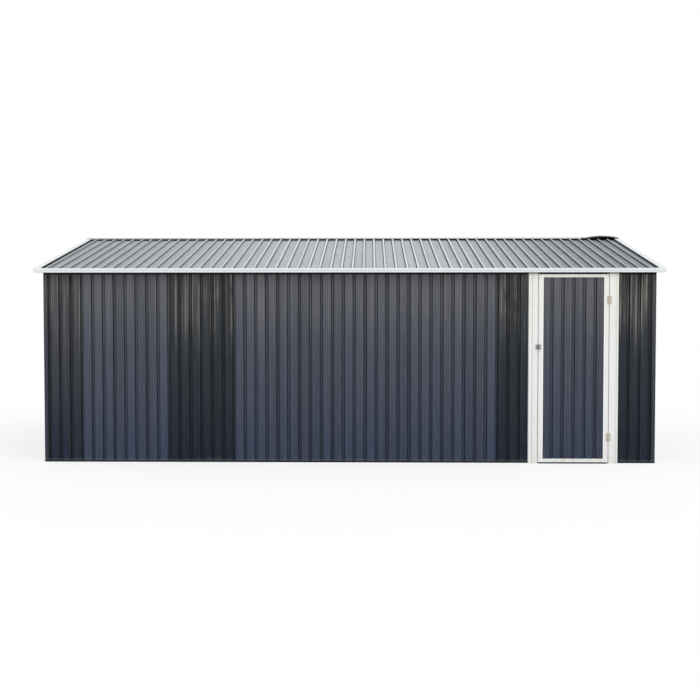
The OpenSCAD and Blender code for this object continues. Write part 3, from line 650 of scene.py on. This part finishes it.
# Small flat heads on the hinge plates and on the door frame
plateScrew = {"sides": 12, "headRadius": 0.0036, "headHeight": 0.0016, "washer": 0.0, "washerRadius": 0.0,
              "spacing": 0.024, "sink": 0.00005}
frameScrew = {"sides": 12, "headRadius": 0.0048, "headHeight": 0.0024, "washer": 0.0, "washerRadius": 0.0,
              "fromEdge": 0.006, "lowest": 0.30, "spacing": 0.62, "sink": 0.00005}
frontward = Matrix.Rotation(math.radians(90), 3, "X")


def frontFace(nodeName, x, z):
    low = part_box(nodeName)[0]
    found = nodes[nodeName].ray_cast(Vector((x, low.y - 0.1, z)), Vector((0, 1, 0)))
    return found[1].y if found[0] else low.y


def plateScrews(nodeName, pieceName, body, sideways):
    low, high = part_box(nodeName)
    middles = spread([v.co.z for v in nodes[nodeName].data.vertices], 0.12)
    x = low.x + (high.x - low.x) * sideways
    rows = []
    face = plateFace(nodeName, x)
    for index, z in enumerate(middles):
        start = (x, face - plateScrew["sink"], z - plateScrew["spacing"])
        rows.append(screwRow(f"{pieceName}{index}", plateScrew, start, (0, 0, plateScrew["spacing"]), 3,
                             frontward, paints["knob"], body))
    return joinRows(rows, pieceName)


def plateFace(nodeName, x):
    # y of the plate's outer face at x, found by looking along +Y from in front of it
    return frontFace(nodeName, x, spread([v.co.z for v in nodes[nodeName].data.vertices], 0.12)[0])


plateScrews("hinge_jamb_plates", "hingeScrewsJamb", "building", 0.72)
plateScrews("hinge_leaf_plates", "hingeScrewsLeaf", "side_door", 0.28)


def frameScrewsOn(nodeName, side, pieceName):
    low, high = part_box(nodeName)
    x = low.x + frameScrew["fromEdge"] if side < 0 else high.x - frameScrew["fromEdge"]
    start = (x, frontFace(nodeName, x, 1.0) - frameScrew["sink"], frameScrew["lowest"])
    screwRow(pieceName, frameScrew, start, (0, 0, frameScrew["spacing"]), 3, frontward, paints["fitting"],
             "building")


frameScrewsOn("jamb_left", -1, "frameScrewsLeft")
frameScrewsOn("jamb_right", 1, "frameScrewsRight")
print("door screws placed")

# Latch: a turned barrel along the case, with a knob standing out of it
latchPiece = {"radius": 0.0050, "inset": 0.004, "knobRadius": 0.006, "knobLength": 0.007}


def latchBarrel():
    low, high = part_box("latch_case")
    middle = (low + high) / 2
    length = (high.x - low.x) - 2 * latchPiece["inset"]
    cleanStart()
    bpy.ops.mesh.primitive_cylinder_add(vertices=24, radius=latchPiece["radius"], depth=length,
                                        location=(middle.x, low.y - latchPiece["radius"] * 0.6, middle.z),
                                        rotation=(0, math.radians(90), 0))
    barrel = bpy.context.object
    bevel = barrel.modifiers.new("edge", "BEVEL")
    bevel.width = 0.0012
    bevel.segments = 2
    bpy.ops.object.modifier_apply(modifier="edge")
    bpy.ops.mesh.primitive_cylinder_add(vertices=24, radius=latchPiece["knobRadius"],
                                        depth=latchPiece["knobLength"],
                                        location=(middle.x, low.y - latchPiece["radius"] * 1.2, middle.z),
                                        rotation=(math.radians(90), 0, 0))
    knob = bpy.context.object
    bevel = knob.modifiers.new("edge", "BEVEL")
    bevel.width = 0.002
    bevel.segments = 3
    bpy.ops.object.modifier_apply(modifier="edge")
    barrel.select_set(True)
    bpy.context.view_layer.objects.active = barrel
    bpy.ops.object.join()
    bpy.ops.object.shade_smooth_by_angle(angle=math.radians(40))
    return settle(barrel, "latchBarrel", paints["knob"], "side_door")


latchBarrel()
print("latch placed")

# Floor, world and lamps
studio = {"floorSize": 80.0, "floorColour": 0.93, "floorWhite": 0.72, "sky": 0.86, "sun": 0.95,
          "sunTurn": (math.radians(42), 0, math.radians(38)), "sunSoftness": math.radians(35)}

bpy.ops.mesh.primitive_plane_add(size=studio["floorSize"], location=(0, 0, 0))
floor = bpy.context.object
floor.name = "floor"
floorPaint, floorFlow = newMaterial("floorPale")
floorTone = floorFlow.grain((1, 1, 1), 3.0).ramp(0.2, 0.8, 0.0, 0.02)
floorShade = floorFlow.mix(floorTone, rgba((studio["floorColour"],) * 3), rgba((0.9, 0.9, 0.9)))
floorRough = floorFlow.grain((1, 1, 1), 2.0).ramp(0.2, 0.8, 0.9, 0.95)
paintOn(floorPaint, floorShade, floorRough, floorFlow.grain((1, 1, 1), 50.0), 0.00005, gloss=0.0)
# the camera sees the floor mostly as the white backdrop, so that only a faint shadow stays
floorX, floorY, floorZ = floorFlow.axes("Object")
within = (wallFaceX - abs(floorX)).ramp(0.0, 0.01) * (wallFaceY - abs(floorY)).ramp(0.0, 0.01)
direct = floorFlow.node("ShaderNodeLightPath", {}, {}, "Is Camera Ray") * studio["floorWhite"]
direct = direct * (1.0 - within)
glow = floorFlow.node("ShaderNodeEmission", {}, {"Color": (1, 1, 1, 1), "Strength": 1.0})
lit = Flow(floorPaint.node_tree, floorPaint.node_tree.nodes["Principled BSDF"].outputs[0])
both = floorFlow.node("ShaderNodeMixShader", {}, {0: direct, 1: lit, 2: glow})
output = next(n for n in floorPaint.node_tree.nodes if n.type == "OUTPUT_MATERIAL")
floorPaint.node_tree.links.new(both.socket, output.inputs["Surface"])
floor.data.materials.append(floorPaint)

world = bpy.context.scene.world or bpy.data.worlds.new("studioSky")
bpy.context.scene.world = world
world.use_nodes = True
worldFlow = Flow(world.node_tree)
seen = worldFlow.node("ShaderNodeLightPath", {}, {}, "Is Camera Ray")
sky = next(n for n in world.node_tree.nodes if n.type == "BACKGROUND")
sky.inputs["Color"].default_value = (1, 1, 1, 1)
world.node_tree.links.new((seen * (1.0 - studio["sky"]) + studio["sky"]).socket, sky.inputs["Strength"])

bpy.ops.object.light_add(type="SUN", rotation=studio["sunTurn"], location=(4, -6, 8))
sun = bpy.context.object
sun.name = "softSun"
sun.data.energy = studio["sun"]
sun.data.angle = studio["sunSoftness"]

# Camera: where it stands from the middle of the front wall, its lens, and its turns
cameraLook = {"side": 0.207, "back": 10.124, "height": 1.478, "lens": 54.155, "down": 2.151, "left": 1.067}
cameraTurn = (math.radians(90 - cameraLook["down"]), 0, math.radians(cameraLook["left"]))
bpy.ops.object.camera_add(location=(cameraLook["side"], firstLow.y - cameraLook["back"],
                                    cameraLook["height"]), rotation=cameraTurn)
camera = bpy.context.object
camera.data.lens = cameraLook["lens"]
camera.data.sensor_width = 36.0
bpy.context.scene.camera = camera
bpy.context.scene.view_settings.view_transform = "Standard"
print("stage, light and camera placed")

print("size before", tuple(firstLow), tuple(firstHigh))
